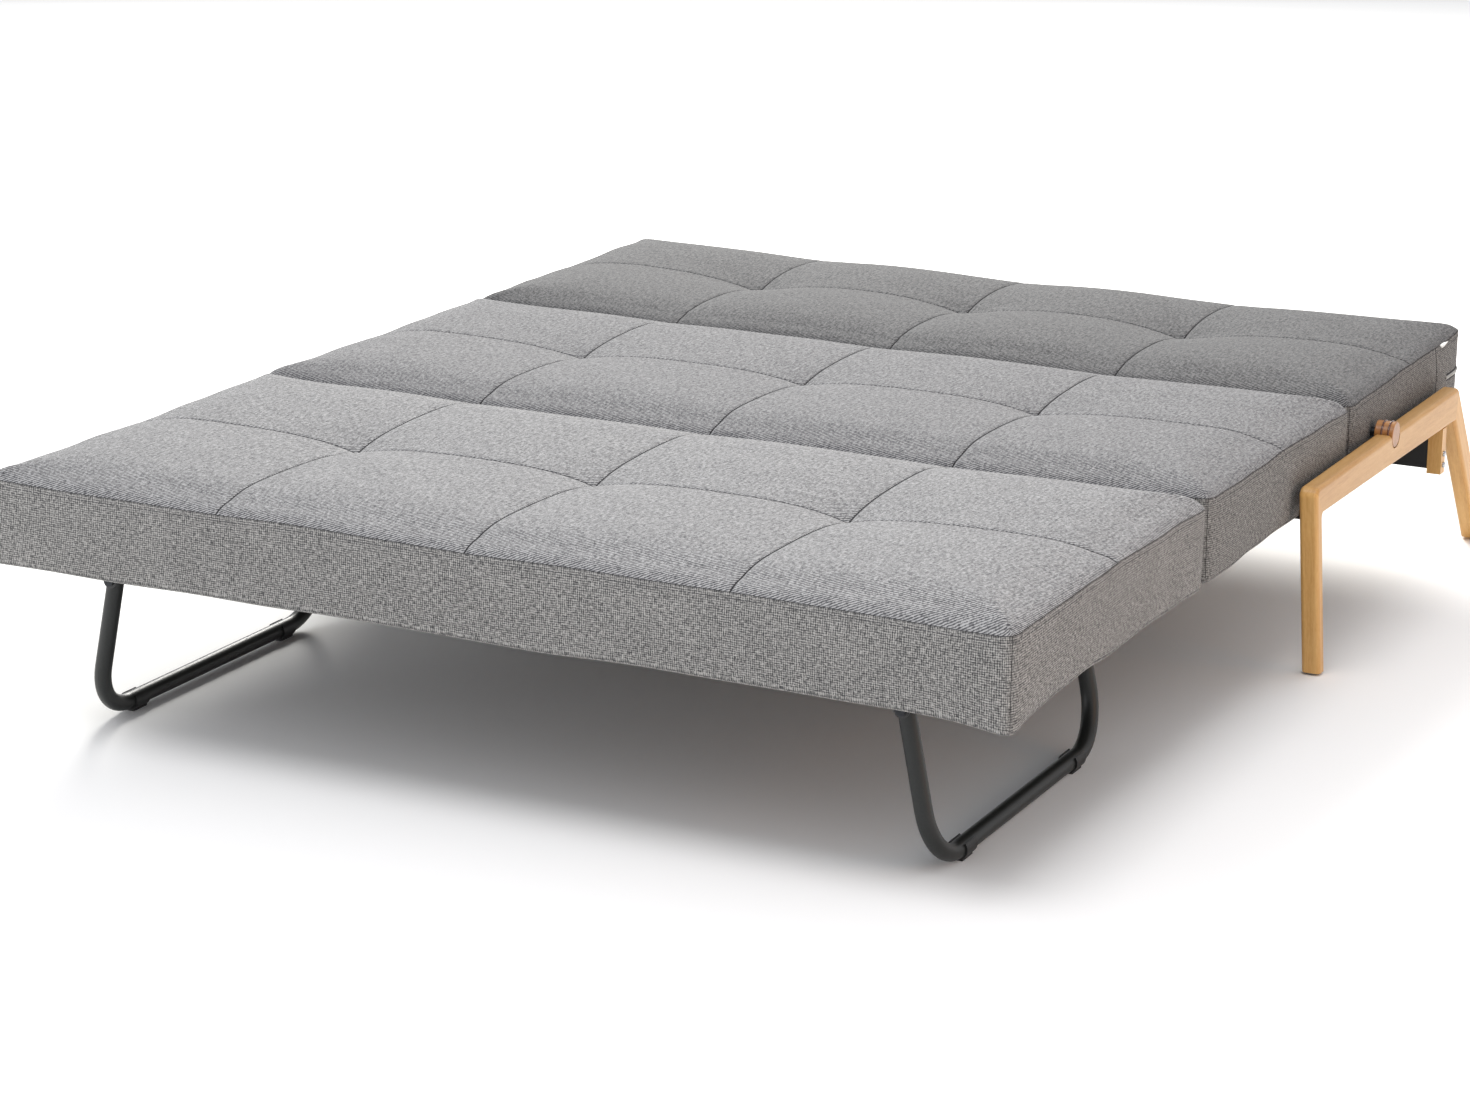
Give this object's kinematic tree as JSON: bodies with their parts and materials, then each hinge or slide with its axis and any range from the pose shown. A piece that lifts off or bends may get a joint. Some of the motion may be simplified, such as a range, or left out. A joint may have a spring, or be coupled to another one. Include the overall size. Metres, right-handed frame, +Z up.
{
  "type": "futon sofa bed",
  "caption": "Three-section futon sofa bed opened flat, with tufted cushions, folding steel sled legs and raked wooden side frames.",
  "frame": {"origin": "middle of the footprint on the floor", "axes": "+X to the right, +Y from the foot end to the head end, +Z up"},
  "size_m": [1.692, 2.0824, 0.39],
  "materials": {
    "grey_upholstery": "woven polyester upholstery, mid grey melange, fine diagonal twill on top and basket weave on the sides",
    "dust_cloth": "black non-woven dust cloth",
    "pad_foam": "white foam pad",
    "tag_cloth": "white woven tape, blank",
    "frame_steel": "black powder coat",
    "sled_steel": "satin anthracite powder coat",
    "beam_steel": "matte black powder coat",
    "zinc_steel": "zinc-plated steel",
    "bolt_chrome": "bright plated domed heads",
    "beech": "oiled natural beech",
    "knob_beech": "turned and oiled beech",
    "slat_birch": "bent birch plywood",
    "clip_plastic": "black moulded nylon",
    "glide_plastic": "pale moulded plastic pad",
    "zip_plastic": "light grey moulded zip end",
    "ring_rubber": "reddish-brown rubber O-ring"
  },
  "bodies": {
    "base": {"seat_cushion": "grey_upholstery", "seat_dust_cover": "dust_cloth", "seat_front_tube": "frame_steel", "seat_rear_tube": "frame_steel", "right_seat_side_tube": "frame_steel", "left_seat_side_tube": "frame_steel", "seat_centre_tube": "frame_steel", "seat_slats": "slat_birch", "seat_hinge_arms": "frame_steel", "hinge_pins": "zinc_steel", "right_side_rail": "beech", "left_side_rail": "beech", "right_front_leg": "beech", "left_front_leg": "beech", "right_rear_leg": "beech", "left_rear_leg": "beech", "leg_glides": "glide_plastic", "right_seat_brackets": "frame_steel", "left_seat_brackets": "frame_steel", "bracket_screws": "zinc_steel", "bracket_bolts": "zinc_steel", "rear_crossbeam": "beam_steel", "right_beam_post": "beech", "left_beam_post": "beech", "beam_bolts": "bolt_chrome"},
    "foot": {"foot_cushion": "grey_upholstery", "foot_dust_cover": "dust_cloth", "foot_front_tube": "frame_steel", "foot_rear_tube": "frame_steel", "right_foot_side_tube": "frame_steel", "left_foot_side_tube": "frame_steel", "foot_centre_tube": "frame_steel", "foot_slats": "slat_birch", "foot_hinge_arms": "frame_steel", "right_leg_brackets": "frame_steel", "left_leg_brackets": "frame_steel", "right_leg_pins": "zinc_steel", "left_leg_pins": "zinc_steel"},
    "right_leg": {"right_sled_leg": "sled_steel", "right_sled_clips": "clip_plastic"},
    "left_leg": {"left_sled_leg": "sled_steel", "left_sled_clips": "clip_plastic"},
    "back": {"back_cushion": "grey_upholstery", "back_rear_cover": "grey_upholstery", "back_lower_pad": "pad_foam", "back_front_tube": "frame_steel", "back_rear_tube": "frame_steel", "right_back_side_tube": "frame_steel", "left_back_side_tube": "frame_steel", "back_centre_tube": "frame_steel", "back_slats": "slat_birch", "right_pivot_shaft": "zinc_steel", "left_pivot_shaft": "zinc_steel", "right_knob": "knob_beech", "left_knob": "knob_beech", "right_knob_rings": "ring_rubber", "left_knob_rings": "ring_rubber", "side_tag": "tag_cloth", "zip_end": "zip_plastic"}
  },
  "joints": [
    {"name": "foot_fold", "type": "hinge", "parent": "base", "child": "foot", "pos_m": [0, -0.31617, 0.225], "axis": [1, 0, 0], "range_deg": [0, 180]},
    {"name": "right_leg_fold", "type": "hinge", "parent": "foot", "child": "right_leg", "pos_m": [0.62326, -0.67617, 0.231], "axis": [0, 1, 0], "range_deg": [0, 101.5]},
    {"name": "left_leg_fold", "type": "hinge", "parent": "foot", "child": "left_leg", "pos_m": [-0.62326, -0.67617, 0.231], "axis": [0, -1, 0], "range_deg": [0, 101.5]},
    {"name": "back_recline", "type": "hinge", "parent": "base", "child": "back", "pos_m": [0, 0.44883, 0.31], "axis": [1, 0, 0], "range_deg": [0, 72]}
  ],
  "couplings": [
    {"joint": "right_leg_fold", "follows": "foot_fold", "ratio": 0.56387},
    {"joint": "left_leg_fold", "follows": "foot_fold", "ratio": 0.56387}
  ]
}
